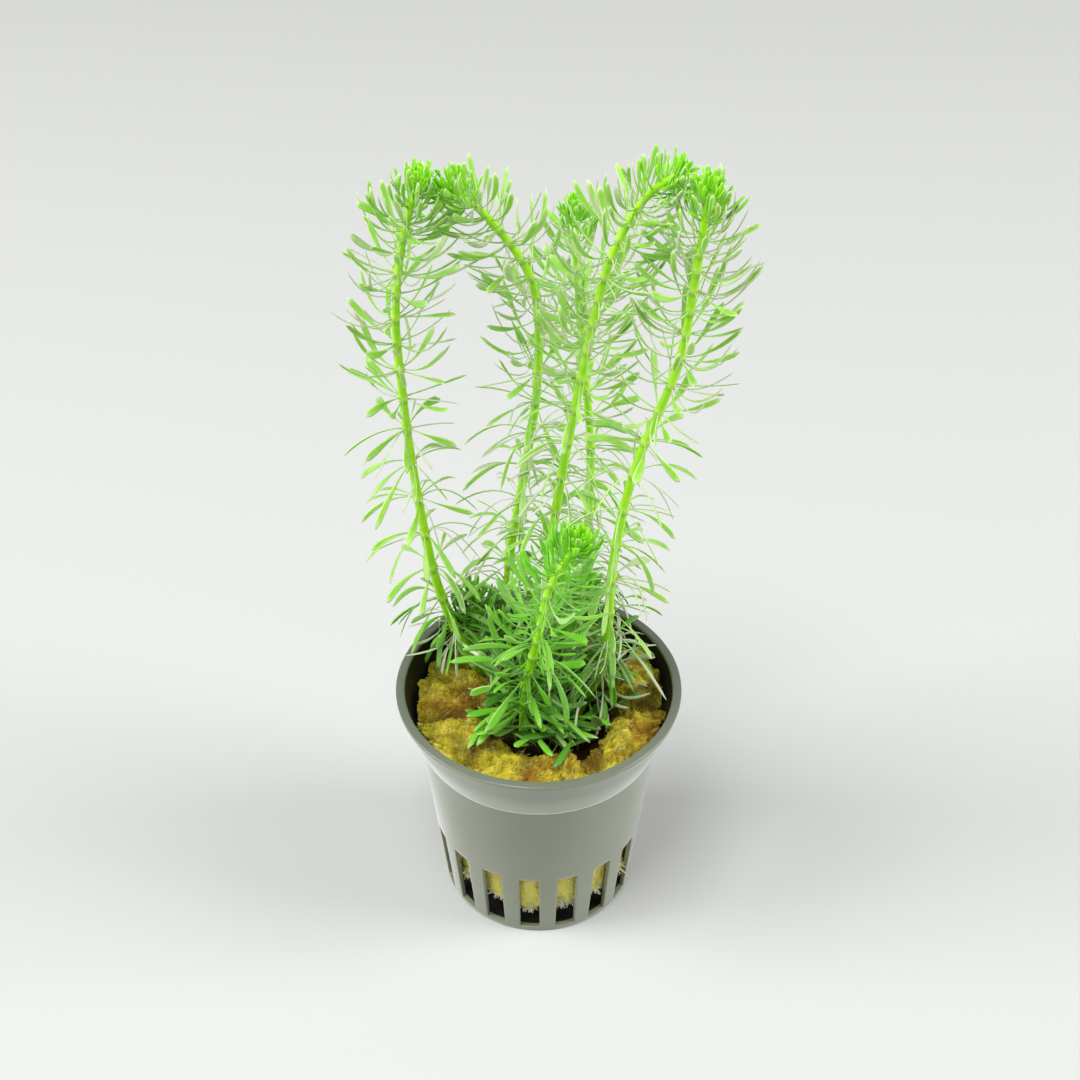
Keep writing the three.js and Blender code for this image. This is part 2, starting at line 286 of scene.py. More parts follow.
outer_rows = [outer_slot_row + k for k in range(slot_steps + 1)]
inner_rows = [inner_slot_row + slot_steps - k for k in range(slot_steps + 1)]
line_slot(outer_rows, inner_rows, in_wall_slot)
under_rows = list(range(first_drain, last_drain + 1))
line_slot(under_rows, [len(pot_rows) - 1 - row for row in under_rows], in_floor_slot)
for row, z in ((0, 0), (-1, FLOOR_THICKNESS)):
    centre = form.verts.new((0, 0, z * MM))
    for line in range(pot_lines):
        form.faces.new((grid[row][line], grid[row][(line + 1) % pot_lines], centre))
bmesh.ops.recalc_face_normals(form, faces=form.faces)
if form.calc_volume(signed=True) < 0:
    bmesh.ops.reverse_faces(form, faces=form.faces)
sharp = [edge for edge in form.edges if edge.calc_face_angle(0) > math.radians(SHARP_ANGLE)]
bmesh.ops.bevel(form, geom=sharp, offset=EDGE_ROUND * MM, segments=2, profile=0.5,
                affect="EDGES", clamp_overlap=True)
pot_mesh = bpy.data.meshes.new("net_pot_moulding")
form.to_mesh(pot_mesh)
form.free()
pot_mesh.shade_smooth()


def add_values(mesh, name, values, kind="FLOAT"):
    """Stores one number or one vector for each point of a mesh."""
    layer = mesh.attributes.new(name, kind, "POINT")
    layer.data.foreach_set("value" if kind == "FLOAT" else "vector", np.asarray(values, np.float32).ravel())


# Painted shade: the inside, facing the wool, is near black and the rim's flat face darker than the wall
pot_places = np.zeros(len(pot_mesh.vertices) * 3)
pot_mesh.vertices.foreach_get("co", pot_places)
pot_x, pot_y, pot_z = pot_places.reshape(-1, 3).T / MM
pot_reach = np.hypot(pot_x, pot_y)
within = pot_reach < wall_radius(pot_z) - WALL_THICKNESS / 2
in_painted_shade = within & (pot_z > SHADED_FROM) & (pot_z < SHADED_TO)
rim_share = np.clip((pot_z - RIM_DARK_FROM) / RIM_DARK_BAND, 0, 1)
add_values(pot_mesh, "rim", rim_share * (pot_reach < RIM_RADIUS - RIM_DARK_INSET))


def new_node(tree, kind, inputs=None, **settings):
    """A node with its settings made, and its inputs linked to other sockets or set to plain values."""
    made = tree.nodes.new(kind)
    for name, value in settings.items():
        setattr(made, name, value)
    for name, value in (inputs or {}).items():
        if isinstance(value, bpy.types.NodeSocket):
            tree.links.new(value, made.inputs[name])
        else:
            made.inputs[name].default_value = value
    return made


def output_of(tree, kind, inputs=None, **settings):
    """The first output in use of a new node."""
    made = new_node(tree, kind, inputs, **settings)
    return next(socket for socket in made.outputs if socket.enabled)


def new_group(name, kind, inputs, outputs):
    """A node group with named inputs and outputs, and the sockets that its inputs come in by."""
    group = bpy.data.node_groups.new(name, kind)
    for way, sockets in (("INPUT", inputs), ("OUTPUT", outputs)):
        for socket, value in sockets.items():
            group.interface.new_socket(socket, in_out=way, socket_type="NodeSocket" + value)
    return group, new_node(group, "NodeGroupInput").outputs


def clouds(tree, scale, detail, **sockets):
    """A noise that lies still on the object."""
    place = new_node(tree, "ShaderNodeTexCoord").outputs["Object"]
    return output_of(tree, "ShaderNodeTexNoise", {
        "Vector": place, "Scale": scale, "Detail": detail, **sockets})


def mottle_group():
    """Soft patches between two colours, as on any moulded, grown or stained surface."""
    group, entry = new_group("mottle", "ShaderNodeTree", {
        "Scale": "Float", "Detail": "Float", "Low Colour": "Color", "High Colour": "Color"},
        {"Colour": "Color", "Patch": "Float"})
    spread = ranged(group, clouds(group, entry["Scale"], entry["Detail"]), *PATCH_EDGE)
    blend = blended(group, spread, entry["Low Colour"], entry["High Colour"])
    new_node(group, "NodeGroupOutput", {"Colour": blend, "Patch": spread})
    return group


def mottled(tree, scale, low, high, detail=3.0):
    """The colour and the patches of a mottled surface."""
    return new_node(tree, "ShaderNodeGroup", {
        "Scale": scale, "Detail": detail, "Low Colour": low, "High Colour": high}, node_tree=mottle).outputs


def blended(tree, share, low, high):
    """A colour between two others."""
    return output_of(tree, "ShaderNodeMix", {0: share, 6: low, 7: high}, data_type="RGBA")


def stored(tree, name, output="Fac"):
    return new_node(tree, "ShaderNodeAttribute", attribute_name=name).outputs[output]


def ranged(tree, value, low, high, to_low=0.0, to_high=1.0):
    return output_of(tree, "ShaderNodeMapRange", {
        "Value": value, "From Min": low, "From Max": high, "To Min": to_low, "To Max": to_high})


def roughened(tree, height, strength, distance, below=None):
    """A normal raised by a height, over another normal where one is given."""
    sockets = {"Height": height, "Strength": strength, "Distance": distance}
    if below:
        sockets["Normal"] = below
    return output_of(tree, "ShaderNodeBump", sockets)


def mottled_material(name, settings, scale, low, high, detail=3.0):
    """A material of which only the colour varies."""
    material, tree, shader = new_material(name, settings)
    tree.links.new(mottled(tree, scale, low, high, detail)["Colour"], shader.inputs["Base Color"])
    return material


mottle = mottle_group()
pot_plastic, tree, shader = new_material("satin_grey_plastic", {
    "IOR": 1.5, "Specular IOR Level": 0.35, "Coat Weight": 0.45, "Coat Roughness": 0.08, "Coat IOR": 1.5,
    "Sheen Weight": 1.0, "Sheen Roughness": 0.3})
outside = mottled(tree, 38.0, POT_GREY, POT_GREY_PALE)
# The rim's flat face is painted a darker grey as shade
rim_painted_shade = blended(tree, stored(tree, "rim"), outside["Colour"], POT_RIM_PAINTED_SHADE)
tree.links.new(rim_painted_shade, shader.inputs["Base Color"])
tree.links.new(ranged(tree, outside["Patch"], 0, 1, 0.17, 0.24), shader.inputs["Roughness"])
grain = clouds(tree, 2600.0, 2.0)
tree.links.new(roughened(tree, grain, 0.05, 0.00005), shader.inputs["Normal"])
pot_mesh.materials.append(pot_plastic)
# The inner skin's near black plastic is painted shade
pot_mesh.materials.append(mottled_material("painted_shade_plastic", {
    "Roughness": 0.5, "Specular IOR Level": 0.25}, 60.0, POT_INSIDE_PAINTED_SHADE, POT_INSIDE_PAINTED_SHADE_PALE))
for polygon in pot_mesh.polygons:
    polygon.material_index = int(all(in_painted_shade[k] for k in polygon.vertices))
pot = new_piece("pot_moulding", pot_mesh)
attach(pot, "root")
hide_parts("net_pot")

# Rock wool: a strip of mustard yellow mineral wool rolled round the stems and pressed into the pot.
# Its torn top stands in clumps with clefts between them round a pit that the stems grow from. Its
# pit, clefts, hollows and tears are painted dark brown: painted shade, and in the pit also damp.
WOOL_BOTTOM = 6.5
WOOL_TOP = 46
WOOL_WALL_GAP = 0.6
WOOL_LEFT_GAP = 0.5
LEFT_GAP_SIDE = 195
PIT_CENTRE = (2.5, -1.5)
PIT_RADIUS = 12.5
PIT_FLOOR = 38
CLEFTS = [40, 100, 140, 190, 230, 300, 360]
CLEFT_DEPTH = 2.4
CLUMP_RISE = [2, 0.9, 0.4, -0.6, 0.8, 0.2, 0.9]
WOOL_LINES = 320
# Rows of the mesh between one ring and the next
ROWS_BETWEEN = [8, 4, 10, 9, 4, 9, 13, 9, 12, 14]
# The rings between which the side turns into the torn crown
CROWN_EDGE = (4.6, 5.3)
# Rise of the lumps, layers and tufts, depth of the tears, and half widths of a crack and of a tear
LUMP_RISE = 1.25
LAYER_RISE = 0.22
TUFT_RISE = 0.65
TEAR_DEPTH = 0.55
CRACK_WIDTH = 1.1
TEAR_WIDTH = 0.1
# How much of that relief the side has, and how far anything stands out of the crown and of the side
SIDE_RELIEF = 0.5
CROWN_BULGE = 1.1
SIDE_BULGE = 0.25
# Fibres stand only on the crown inside this radius, and the underside frays outside the other
FUZZ_REACH = 22.3
FRAY_REACH = 16
WOOL_YELLOW = (0.70, 0.62, 0.018, 1)
# Pale yellow: a painted highlight on raised fibres, and the pale tone of the loose fibres
WOOL_PALE_AND_HIGHLIGHT = (0.90, 0.87, 0.20, 1)
WOOL_OCHRE = (0.40, 0.26, 0.006, 1)
WOOL_RUST = (0.30, 0.11, 0.008, 1)
# A lighter yellow painted on the side, which lies in the pot's shade: painted light
WOOL_SIDE_PAINTED_LIGHT = (1.0, 0.92, 0.22, 1)
# Near black brown: painted shade, and in the pit also damp
WOOL_WET_AND_SHADE = (0.05, 0.02, 0.006, 1)
FRAY_STRAW = (0.80, 0.78, 0.42, 1)
FRAY_PALE = (0.86, 0.86, 0.70, 1)
FIBRES_PER_MM2 = 0.45
FIBRE_LENGTH = 1.7
FIBRE_WIDTH = 0.04
FRAYS_PER_MM2 = 11
FRAY_LENGTH = 1.1
FRAY_WIDTH = 0.15


def ease(low, high, value):
    """A share that rises smoothly from 0 to 1 as a value goes from low to high."""
    share = min(max((value - low) / (high - low), 0), 1)
    return share * share * (3 - 2 * share)


def from_axis(point):
    return math.hypot(point.x, point.y)


def place_round(radius, angle, z, centre=(0, 0)):
    """A place at a radius and an angle round an upright line."""
    return Vector((centre[0] + radius * math.cos(angle), centre[1] + radius * math.sin(angle), z))


def clump_height(degrees):
    """Height of a clump above the mean top: each has its own rise, and a cleft at its ends."""
    clump = next(k for k, cleft in enumerate(CLEFTS) if degrees < cleft)
    start = CLEFTS[clump - 1] if clump else 0
    along = (degrees - start) / (CLEFTS[clump] - start)
    return mix(-CLEFT_DEPTH, CLUMP_RISE[clump], ease(0, 0.25, along) * ease(0, 0.25, 1 - along))


def wool_ring_point(ring, degrees):
    """A point of one of the wool's rings, from its underside, up the wall, over the crown, into the pit."""
    angle = math.radians(degrees)
    gap = WOOL_WALL_GAP + WOOL_LEFT_GAP * max(0, math.cos(angle - math.radians(LEFT_GAP_SIDE))) ** 2
    clump = clump_height(degrees)
    ragged = 0.9 * math.sin(5 * angle) + 2.4 * noise.fractal(place_round(13, angle, 0), 0.8, 2.1, 3)
    outer = [(WOOL_BOTTOM, 0.8, WOOL_BOTTOM + ragged), (WOOL_BOTTOM + 2, 0, WOOL_BOTTOM + 2),
             (24, 0, 24), (38, 0, 38), (WOOL_TOP - 4.5, 0, WOOL_TOP - 4.5),
             (WOOL_TOP, 0.2, WOOL_TOP - 0.7 + clump)]
    pit = [(PIT_RADIUS + 3.5, WOOL_TOP + 0.3 + clump), (PIT_RADIUS, WOOL_TOP - 1.5 + 0.8 * clump),
           (PIT_RADIUS - 1.5, PIT_FLOOR + 1.5), (0, PIT_FLOOR)]
    if ring == 0:
        return Vector((0, 0, WOOL_BOTTOM + 1))
    if ring <= len(outer):
        at, inset, z = outer[ring - 1]
        return place_round(inner_radius(at) - gap - inset, angle, z)
    radius, z = pit[ring - 1 - len(outer)]
    return place_round(radius, angle, z, PIT_CENTRE)


def wool_skin_point(span, t, degrees):
    """A point a share t of the way between two rings, on a smooth line through their neighbours."""
    before, here, there, after = (
        wool_ring_point(min(max(span + k, 0), len(ROWS_BETWEEN)), degrees) for k in (-1, 0, 1, 2))
    lead = (there - before) * 0.25
    trail = (after - here) * 0.25
    curve = here * (2 * t ** 3 - 3 * t ** 2 + 1) + there * (3 * t ** 2 - 2 * t ** 3)
    return curve + lead * (t ** 3 - 2 * t ** 2 + t) + trail * (t ** 3 - t ** 2)


wool_rows = [(span, k / rows) for span, rows in enumerate(ROWS_BETWEEN) for k in range(rows)][1:]
wool_points, wool_crown = [], []
for span, share in wool_rows:
    for line in range(WOOL_LINES):
        wool_points.append(wool_skin_point(span, share, line / WOOL_LINES * 360))
        wool_crown.append(ease(*CROWN_EDGE, span + share))
wool_faces = []
for row in range(len(wool_rows) - 1):
    for line in range(WOOL_LINES):
        here, after = row * WOOL_LINES + line, row * WOOL_LINES + (line + 1) % WOOL_LINES
        wool_faces.append((here, after, after + WOOL_LINES, here + WOOL_LINES))
wool_points += [wool_ring_point(0, 0), wool_ring_point(len(ROWS_BETWEEN), 0)]
wool_crown += [0, 1]
last_row = (len(wool_rows) - 1) * WOOL_LINES
for line in range(WOOL_LINES):
    after = (line + 1) % WOOL_LINES
    wool_faces.append((len(wool_points) - 2, after, line))
    wool_faces.append((len(wool_points) - 1, last_row + line, last_row + after))
wool_mesh = bpy.data.meshes.new("rock_wool_roll")
wool_mesh.from_pydata([point * MM for point in wool_points], [], wool_faces)
wool_mesh.update()

# Torn lumps a few millimetres wide, layers that run round the roll, and loose tufts on both
wool_normals = [Vector(vertex.normal) for vertex in wool_mesh.vertices]
raised, wet_and_shade = [], []
for point, normal, crown in zip(wool_points, wool_normals, wool_crown):
    degrees = math.degrees(math.atan2(point.y, point.x)) % 360
    radius = from_axis(point)
    cleft = min(abs((degrees - turn + 180) % 360 - 180) for turn in CLEFTS) * math.radians(1) * radius
    lumps = noise.fractal(point * 0.22, 1.0, 2.0, 3)
    layers = noise.fractal(Vector((degrees * 0.05, radius * 0.9, point.z * 0.7)), 0.9, 2.1, 3)
    tufts = noise.fractal(point * 0.95 + Vector((7, 3, 5)), 0.7, 2.2, 4)
    tears = noise.fractal(point * 0.34 + Vector((2, 9, 4)), 0.9, 2.1, 3)
    tear = math.exp(-(tears / TEAR_WIDTH) ** 2) * crown
    crack = math.exp(-(cleft / CRACK_WIDTH) ** 2) * crown
    bumps = LUMP_RISE * lumps + LAYER_RISE * layers + TUFT_RISE * tufts
    height = mix(SIDE_RELIEF, 1.0, crown) * bumps - crack - TEAR_DEPTH * tear
    side = 1 - abs(normal.z)
    height = min(height, mix(CROWN_BULGE, SIDE_BULGE, side * (1 - crown)))
    raised.append((point + normal * height) * MM)
    # A dark brown share: painted shade in the pit, the hollows, the clefts and the tears, and damp in the
    # pit
    pit_reach = math.hypot(point.x - PIT_CENTRE[0], point.y - PIT_CENTRE[1])
    pit = ease(PIT_RADIUS + 1.2, PIT_RADIUS - 2.2, pit_reach) if crown > 0.5 else 0
    hollow_shade = ease(0.15, -0.75, height) * crown
    wet_and_shade.append(max(pit * ease(47, 41, point.z), 0.5 * hollow_shade, 0.7 * crack, 0.4 * tear))
wool_mesh.vertices.foreach_set("co", np.array(raised, np.float32).ravel())
wool_mesh.update()
wool_mesh.shade_smooth()
add_values(wool_mesh, "wet_and_shade", wet_and_shade)
add_values(wool_mesh, "fuzz", [
    crown * (1 - 0.75 * damp_and_shade) * (from_axis(point) < FUZZ_REACH)
    for crown, damp_and_shade, point in zip(wool_crown, wet_and_shade, wool_points)])
# The side is painted a lighter yellow, as painted light where the pot shades it
add_values(wool_mesh, "side_painted_light", [1 - crown for crown in wool_crown])
# The roll's lower edge, which is seen in the slots, is frayed into pale tufts
add_values(wool_mesh, "fray", [
    ease(0, 0.2, noise.noise(point * 0.7)) * (point.z < WOOL_BOTTOM + 2.2 and from_axis(point) > FRAY_REACH)
    for point in wool_points])


def maths(tree, operation, *terms):
    return output_of(tree, "ShaderNodeMath", dict(enumerate(terms)), operation=operation)


def layered(tree, colour, *layers):
    """A colour with others laid over it in turn, each by its own share."""
    for share, over in layers:
        colour = blended(tree, share, colour, over)
    return colour


def fibre_relief_group():
    """Crossing fibres: fine noise drawn out in two directions, as a height."""
    group, entry = new_group("fibre_relief", "ShaderNodeTree", {"Scale": "Float"}, {"Height": "Float"})
    place = new_node(group, "ShaderNodeTexCoord")
    heights = []
    for turn, stretch in ((0.5, (1, 0.3, 0.6)), (2.4, (0.4, 1, 0.8))):
        turned = output_of(group, "ShaderNodeMapping", {
            "Vector": place.outputs["Object"], "Rotation": (0.3, turn * 0.4, turn), "Scale": stretch})
        heights.append(output_of(group, "ShaderNodeTexNoise", {
            "Vector": turned, "Scale": entry["Scale"], "Detail": 4.0, "Distortion": 2.2}))
    new_node(group, "NodeGroupOutput", {"Height": maths(group, "ADD", *heights)})
    return group


fibre_relief = fibre_relief_group()
wool_stuff, tree, shader = new_material("rock_wool_mat", {"Roughness": 0.9, "Specular IOR Level": 0.25})
strands = output_of(tree, "ShaderNodeGroup", {"Scale": 800.0}, node_tree=fibre_relief)
rusty = mottled(tree, 95.0, WOOL_YELLOW, WOOL_RUST, 5.0)["Patch"]
# The wool's colour: ochre and rust stains, with a painted highlight on raised fibres, painted light on the
# side and painted shade in the pit, the clefts and the hollows
stains_and_painted_light = layered(
    tree, mottled(tree, 300.0, WOOL_OCHRE, WOOL_YELLOW, 5.0)["Colour"],
    (ranged(tree, strands, 0.95, 1.4), WOOL_PALE_AND_HIGHLIGHT),
    (ranged(tree, rusty, 0.4, 0.9, 0.0, 0.8), WOOL_RUST),
    (ranged(tree, stored(tree, "side_painted_light"), 0.0, 1.0, 0.0, 0.85), WOOL_SIDE_PAINTED_LIGHT),
    (stored(tree, "wet_and_shade"), WOOL_WET_AND_SHADE))
tree.links.new(stains_and_painted_light, shader.inputs["Base Color"])
crumbs = clouds(tree, 1300.0, 3.0, Roughness=0.7)
crumbled = roughened(tree, crumbs, 0.9, 0.0009)
tree.links.new(roughened(tree, strands, 0.6, 0.0004, crumbled), shader.inputs["Normal"])
wool_mesh.materials.append(wool_stuff)


def grown_mesh(carrier, made, values, name):
    """Runs a geometry tree on an object once and gives the result as a plain mesh."""
    modifier = carrier.modifiers.new("growth", "NODES")
    modifier.node_group = made
    for item in made.interface.items_tree:
        if item.item_type == "SOCKET" and item.in_out == "INPUT" and item.name in values:
            modifier[item.identifier] = values[item.name]
    depsgraph = bpy.context.evaluated_depsgraph_get()
    mesh = bpy.data.meshes.new_from_object(carrier.evaluated_get(depsgraph), depsgraph=depsgraph)
    mesh.name = name
    carrier.modifiers.remove(modifier)
    return mesh


def named_value(tree, name, kind="FLOAT"):
    """A value that is stored on each point of the geometry."""
    return output_of(tree, "GeometryNodeInputNamedAttribute", {"Name": name}, data_type=kind)


def loose_fibre_tree():
    """Plants short bent fibres on a surface, as thickly as a stored mask says."""
    made, entry = new_group("loose_fibres", "GeometryNodeTree", {
        "Geometry": "Geometry", "Mask": "String", "Density": "Float", "Length": "Float",
        "Width": "Float", "Lean": "Float", "Seed": "Int", "Material": "Material"},
        {"Geometry": "Geometry"})
    density = maths(made, "MULTIPLY", entry["Density"], named_value(made, entry["Mask"]))
    scatter = new_node(made, "GeometryNodeDistributePointsOnFaces", {
        "Mesh": entry["Geometry"], "Density": density, "Seed": entry["Seed"]})
    strand = output_of(made, "GeometryNodeCurveQuadraticBezier", {
        "Resolution": 4, "Start": (0, 0, -0.1), "Middle": (0.16, 0, 0.45), "End": (-0.05, 0.12, 1.0)})
    section = output_of(made, "GeometryNodeCurvePrimitiveCircle", {"Resolution": 3, "Radius": 0.5})
    slim = output_of(made, "GeometryNodeTransform", {
        "Geometry": section, "Scale": maths(made, "DIVIDE", entry["Width"], entry["Length"])})
    hair = output_of(made, "GeometryNodeCurveToMesh", {
        "Curve": strand, "Profile Curve": slim, "Fill Caps": True})
    least = output_of(made, "ShaderNodeCombineXYZ", {0: entry["Lean"], 1: -0.5, 2: -3.1416})
    lean = output_of(made, "FunctionNodeRandomValue", {
        "Min": least, "Max": (1.55, 0.5, 3.1416)}, data_type="FLOAT_VECTOR")
    spin = output_of(made, "FunctionNodeEulerToRotation", {"Euler": lean})
    tilt = output_of(made, "FunctionNodeRotateRotation", {
        "Rotation": scatter.outputs["Rotation"], "Rotate By": spin}, rotation_space="LOCAL")
    share = output_of(made, "FunctionNodeRandomValue", {
        "Min": 0.45, "Max": 1.25, "Seed": 4}, data_type="FLOAT")
    length = maths(made, "MULTIPLY", entry["Length"], share)
    planted = output_of(made, "GeometryNodeInstanceOnPoints", {
        "Points": scatter.outputs["Points"], "Instance": hair, "Rotation": tilt, "Scale": length})
    real = output_of(made, "GeometryNodeRealizeInstances", {"Geometry": planted})
    finish = output_of(made, "GeometryNodeSetMaterial", {"Geometry": real, "Material": entry["Material"]})
    new_node(made, "NodeGroupOutput", {"Geometry": finish})
    return made


loose_fibres = loose_fibre_tree()
dull_gloss = {"Roughness": 0.8, "Specular IOR Level": 0.3}
fibre_stuff = mottled_material("loose_wool_fibre", dull_gloss, 320.0, WOOL_YELLOW, WOOL_PALE_AND_HIGHLIGHT, 2.0)
fray_stuff = mottled_material("pale_wool_ends", dull_gloss, 320.0, FRAY_STRAW, FRAY_PALE, 2.0)
wool = new_piece("wool_roll", wool_mesh)
fibres = new_piece("wool_fibres", grown_mesh(wool, loose_fibres, {
    "Mask": "fuzz", "Density": FIBRES_PER_MM2 / MM ** 2, "Length": FIBRE_LENGTH * MM,
    "Width": FIBRE_WIDTH * MM, "Lean": 1.15, "Seed": 11, "Material": fibre_stuff}, "loose_wool_fibres"))
fray = new_piece("wool_fray", grown_mesh(wool, loose_fibres, {
    "Mask": "fray", "Density": FRAYS_PER_MM2 / MM ** 2, "Length": FRAY_LENGTH * MM,
    "Width": FRAY_WIDTH * MM, "Lean": 0.1, "Seed": 5, "Material": fray_stuff}, "frayed_wool_ends"))
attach(wool, "root")
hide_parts("rock_wool")
for tuft in (fibres, fray):
    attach(tuft, "root")

# Stems: five tall lime green stems, two pairs of which lean together into arches, and three short
# shoots, each swollen where a whorl of leaves grows. A leaf is thread-thin at its base and widens to
# a blunt spoon. It is folded up at the growing tip, opens out below it and hangs lower down.
TALL = {"radius": 1.0, "tip_radius": 0.6, "leaf_length": 10.5, "leaf_width": 1.9, "longest_internode": 8.8,
        "slimness": 0.62, "low_leaves": 60}
SHORT = {"radius": 0.95, "tip_radius": 0.6, "leaf_length": 11, "leaf_width": 2.3, "longest_internode": 4.8,
         "slimness": 0.64, "low_leaves": 26}
# Each stem: the seed of its variations, its kind, and the points that its line passes through
STEMS = {
    "stem_left": (1, TALL, [(-9, 6, 35), (-11.5, 9, 44), (-17, 11, 57), (-20, 9, 72), (-22.5, 7, 97),
                            (-23.5, 5, 118), (-23.5, 4, 131), (-21.5, 3, 145), (-18.3, 1, 156)]),
    "stem_left_arch": (2, TALL, [(-5, 11, 35), (-6.5, 15, 48), (-5.5, 17, 68), (-3.5, 15, 83),
                                 (-0.5, 11, 108), (0, 8.5, 124), (-1.5, 6, 136), (-7.5, 4, 147),
                                 (-14, 2, 154.5)]),
    "stem_back": (3, TALL, [(4, 13, 35), (8, 17, 52), (9.5, 19, 75), (9.5, 18, 94), (8, 17, 112),
                            (6.5, 15, 132), (6, 14, 144)]),
    "stem_right_arch": (4, TALL, [(-1, 7, 35), (0.5, 9.5, 52), (2, 7, 75), (4, 4, 96), (7.5, 0, 122),
                                  (11, -3, 143), (16, -5, 155.5), (21, -6, 160.5)]),
    "stem_right": (5, TALL, [(6, 2.5, 35), (9.5, 3.5, 44), (12.5, 1, 56), (13.5, -1.5, 82), (16.5, -4, 104),
                             (22.5, -7, 127), (24.3, -9.3, 145), (25.3, -11.3, 161)]),
    "shoot_front": (6, SHORT, [(-3, -1, 35), (-2.5, -4, 53), (0, -6.5, 68), (2, -8.5, 81), (7, -10, 93)]),
    "shoot_back_left": (7, SHORT, [(-8, 12, 35), (-10, 13.5, 48), (-12.5, 12, 62)]),
    "shoot_right": (8, SHORT, [(3.5, 4, 35), (5.5, 6, 50), (8.5, 5.5, 70)]),
}
FIRST_WHORL = 1.2
FIRST_INTERNODE = 2
INTERNODE_GROWTH = 1.11
LOWEST_WHORL = 44
LEAVES_PER_WHORL = 5
# A whorl's leaf is tried at these shares of its length, and kept where the solid has a point at its tip
LEAF_TRIM = (1, 0.75, 0.5)
TIP_TOLERANCE = 0.06
FOOT_DEPTH = 0.3
STEM_SIDES = 12
STEM_STEP = 0.45
LINE_SAMPLES = 200
NODE_SWELLING = 0.26
NODE_HALF_LENGTH = 0.55
SEAM_HALF_LENGTH = 0.4
SEAM_BELOW_NODE = 0.9
SEAM_STRENGTH = 0.55
# Rings and seams start this far below the tip
FIRST_RING = 9
# Leaves of the bud, folded over the tip, then the number of thinner leaves that each whorl and each
# part of the plant gets, and the share of them that are threads
BUD_WHORLS = (0.2, 0.7, 2.1, 2.8, 4.6)
EXTRA_LEAVES = 7
LOW_EXTRA_LEAVES = 5
BUSHY_EXTRA_LEAVES = 8
BUSHY_STEMS = ("stem_back", "stem_left_arch", "stem_right_arch")
THREAD_SHARE = 0.45
PIT_LEAVES = 46
FRONT_PIT_LEAVES = 44
DRAPED_LEAVES = 64
HALO_LEAVES = 24
EXTRA_THREADS = {"stem_right": 44, "stem_left": 14}
# How far the thinner leaves stay from other stems and from the wall
STEM_CLEARANCE = 1.6
WALL_CLEARANCE = 0.8
LEAF_SIDES = 6
LEAF_STEPS = 8
LEAF_HALF_THICKNESS = 0.15
LEAF_CHANNEL = 0.22
LEAF_FRESH = (0.24, 0.58, 0.03, 1)
LEAF_LIGHT = (0.38, 0.72, 0.11, 1)
LEAF_YOUNG = (0.34, 0.84, 0.02, 1)
LEAF_DEEP = (0.15, 0.50, 0.03, 1)
LEAF_LUSH = (0.17, 0.62, 0.006, 1)
LEAF_LOW_DARK = (0.045, 0.17, 0.015, 1)
# A near white painted highlight on the leaves' edges and ends
LEAF_PAINTED_HIGHLIGHT = (0.82, 0.92, 0.56, 1)
LEAF_FADED = (0.62, 0.66, 0.48, 1)
STEM_LIME = (0.48, 0.92, 0.015, 1)
STEM_LOW = (0.36, 0.82, 0.015, 1)
STEM_RING = (0.60, 0.90, 0.16, 1)
STEM_SEAM = (0.13, 0.42, 0.01, 1)


def chance(seed):
    """A number from 0 to 1 that is always the same for one seed and looks random between seeds."""
    wave = math.sin(seed * 12.9898) * 43758.5453
    return wave - math.floor(wave)


def varied(low, high, seed):
    return mix(low, high, chance(seed))


class Stem:
    """A stem with a smooth line through its points, measured along its length in millimetres."""

    def __init__(self, name, seed, kind, points):
        self.name, self.seed, self.kind = name, seed, kind
        self.points = [Vector(point) for point in points]
        samples = [self.place(k / LINE_SAMPLES) for k in range(LINE_SAMPLES + 1)]
        steps = [(after - before).length for before, after in zip(samples, samples[1:])]
        self.lengths = np.concatenate([[0], np.cumsum(steps)])
        self.length = float(self.lengths[-1])
        # Where the whorls grow, as distances back from the tip
        self.whorls, back, internode = [], FIRST_WHORL, FIRST_INTERNODE
        while back < self.length and self.at(self.length - back).z >= LOWEST_WHORL:
            self.whorls.append(back)
            internode = min(internode * INTERNODE_GROWTH, kind["longest_internode"])
            back += internode

    def place(self, share):
        points = self.points
        span = min(int(share * (len(points) - 1)), len(points) - 2)
        part = share * (len(points) - 1) - span
        before = points[span - 1] if span else points[0] * 2 - points[1]
        after = points[span + 2] if span + 2 < len(points) else points[-1] * 2 - points[-2]
        here, there = points[span], points[span + 1]
        lead, trail = (there - before) * 0.5, (after - here) * 0.5
        return (here + lead * part + (there * 3 - here * 3 - lead * 2 - trail) * part ** 2
                + (here * 2 - there * 2 + lead + trail) * part ** 3)

    def share(self, along):
        return float(np.interp(along, self.lengths, np.arange(LINE_SAMPLES + 1) / LINE_SAMPLES))

    def at(self, along):
        return self.place(self.share(along))

    def heading(self, along):
        share = self.share(along)
        return (self.place(min(share + 1e-4, 1)) - self.place(max(share - 1e-4, 0))).normalized()


stems = [Stem(name, *facts) for name, facts in STEMS.items()]


